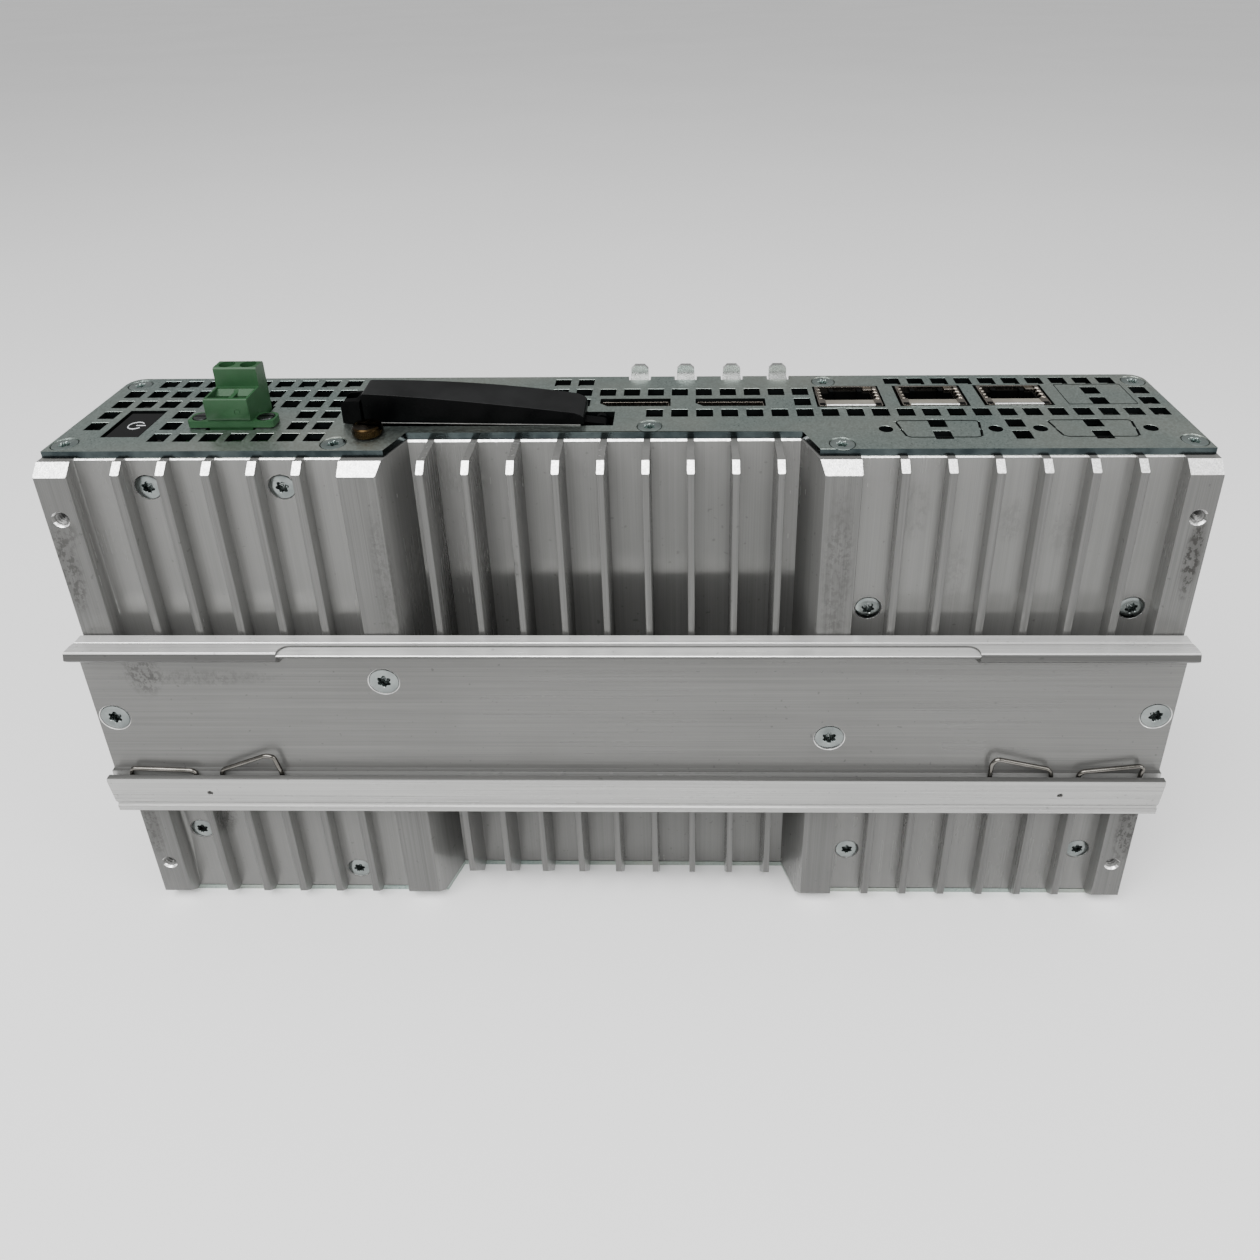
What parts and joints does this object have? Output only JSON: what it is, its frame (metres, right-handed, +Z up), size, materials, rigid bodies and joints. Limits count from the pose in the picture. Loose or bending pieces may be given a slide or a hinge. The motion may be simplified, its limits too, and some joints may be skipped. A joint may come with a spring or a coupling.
{
  "type": "industrial box controller",
  "caption": "Fanless industrial box controller with a ribbed aluminium heatsink, rail-mounting bracket with wire springs, and a vented connector plate.",
  "frame": {"origin": "centre of the overall box's underside, on the base plate's lower face", "axes": "+X to the right seen from the ribbed front, +Y from the ribbed front to the rear cover, +Z up to the connector plate"},
  "size_m": [0.2626, 0.0542, 0.1521],
  "materials": {
    "extruded_aluminium": "extruded, fine lines along the ribs, satin, handling smudges",
    "brushed_aluminium": "brushed lengthwise, satin",
    "zinc_sheet": "zinc-plated sheet with a slight blue-green passivation tint",
    "zinc_screw": "zinc plated",
    "spring_steel": "drawn wire, bright",
    "gloss_black": "glossy moulded",
    "black_plastic": "fine satin moulded",
    "green_plastic": "matte moulded",
    "brass": "turned and knurled, slightly tarnished",
    "nickel_shell": "nickel-plated pressed shell",
    "circuit_board": "solder mask",
    "chip_package": "moulded epoxy",
    "copper": "milled copper"
  },
  "bodies": {
    "housing": {"backup_battery": "nickel_shell", "base_plate": "zinc_sheet", "body_screw_1": "zinc_screw", "body_screw_2": "zinc_screw", "body_screw_3": "zinc_screw", "body_screw_4": "zinc_screw", "body_screw_5": "zinc_screw", "body_screw_6": "zinc_screw", "body_screw_7": "zinc_screw", "body_screw_8": "zinc_screw", "bracket_screw_1": "zinc_screw", "bracket_screw_2": "zinc_screw", "bracket_screw_3": "zinc_screw", "bracket_screw_4": "zinc_screw", "card_cage": "black_plastic", "cover_catch": "black_plastic", "cover_hinge_pin": "spring_steel", "din_rail_bracket": "brushed_aluminium", "display_socket_1": "nickel_shell", "display_socket_2": "nickel_shell", "heat_spreader": "copper", "heatsink": "extruded_aluminium", "input_capacitor": "brushed_aluminium", "interface_plate": "zinc_sheet", "mainboard": "circuit_board", "memory_card": "chip_package", "memory_module": "circuit_board", "network_controller": "chip_package", "network_jack_1": "nickel_shell", "network_jack_2": "nickel_shell", "network_jack_3": "nickel_shell", "plate_screw_1": "zinc_screw", "plate_screw_2": "zinc_screw", "plate_screw_3": "zinc_screw", "plate_screw_4": "zinc_screw", "plate_screw_5": "zinc_screw", "plate_screw_6": "zinc_screw", "plate_screw_7": "zinc_screw", "plate_screw_8": "zinc_screw", "power_board": "circuit_board", "power_inductor": "chip_package", "power_switch": "black_plastic", "processor": "chip_package", "rear_cover": "zinc_sheet", "storage_drive": "brushed_aluminium", "terminal_header": "green_plastic"},
    "power_button": {"power_button": "gloss_black"},
    "slot_cover": {"slot_cover": "black_plastic"},
    "thumb_screw": {"thumb_screw": "brass"},
    "terminal_plug": {"terminal_plug": "green_plastic"},
    "clamp_screw_1": {"clamp_screw_1": "zinc_screw"},
    "clamp_screw_2": {"clamp_screw_2": "zinc_screw"},
    "flange_screw_1": {"flange_screw_1": "zinc_screw"},
    "flange_screw_2": {"flange_screw_2": "zinc_screw"},
    "rail_spring_1": {"rail_spring_1": "spring_steel"},
    "rail_spring_2": {"rail_spring_2": "spring_steel"},
    "rail_spring_3": {"rail_spring_3": "spring_steel"},
    "rail_spring_4": {"rail_spring_4": "spring_steel"}
  },
  "joints": [
    {"name": "power_button_press", "type": "slide", "parent": "housing", "child": "power_button", "axis": [0, 0, -1], "range_m": [0, 0.0012], "stiffness_N_per_m": 900},
    {"name": "slot_cover_hinge", "type": "hinge", "parent": "housing", "child": "slot_cover", "pos_m": [-0.006, 0.00222, 0.1376], "axis": [0, 1, 0], "range_deg": [0, 90]},
    {"name": "thumb_screw_turn", "type": "hinge", "parent": "housing", "child": "thumb_screw", "pos_m": [-0.0589, -0.00717, 0.1397], "axis": [0, 0, 1], "continuous": true},
    {"name": "terminal_plug_pull", "type": "slide", "parent": "housing", "child": "terminal_plug", "axis": [0, 0, 1], "range_m": [0, 0.012]},
    {"name": "clamp_screw_1_turn", "type": "hinge", "parent": "terminal_plug", "child": "clamp_screw_1", "pos_m": [-0.09464, 0.00547, 0.1464], "axis": [0, 0, 1], "continuous": true},
    {"name": "flange_screw_1_turn", "type": "hinge", "parent": "terminal_plug", "child": "flange_screw_1", "pos_m": [-0.0997, -0.00137, 0.1418], "axis": [0, 0, 1], "continuous": true},
    {"name": "clamp_screw_2_turn", "type": "hinge", "parent": "terminal_plug", "child": "clamp_screw_2", "pos_m": [-0.08956, 0.00547, 0.1464], "axis": [0, 0, 1], "continuous": true},
    {"name": "flange_screw_2_turn", "type": "hinge", "parent": "terminal_plug", "child": "flange_screw_2", "pos_m": [-0.0845, -0.00137, 0.1418], "axis": [0, 0, 1], "continuous": true},
    {"name": "rail_spring_1_press", "type": "slide", "parent": "housing", "child": "rail_spring_1", "axis": [0, 0, -1], "range_m": [0, 0.003], "stiffness_N_per_m": 1500},
    {"name": "rail_spring_2_press", "type": "slide", "parent": "housing", "child": "rail_spring_2", "axis": [0, 0, -1], "range_m": [0, 0.003], "stiffness_N_per_m": 1500},
    {"name": "rail_spring_3_press", "type": "slide", "parent": "housing", "child": "rail_spring_3", "axis": [0, 0, -1], "range_m": [0, 0.003], "stiffness_N_per_m": 1500},
    {"name": "rail_spring_4_press", "type": "slide", "parent": "housing", "child": "rail_spring_4", "axis": [0, 0, -1], "range_m": [0, 0.003], "stiffness_N_per_m": 1500}
  ]
}
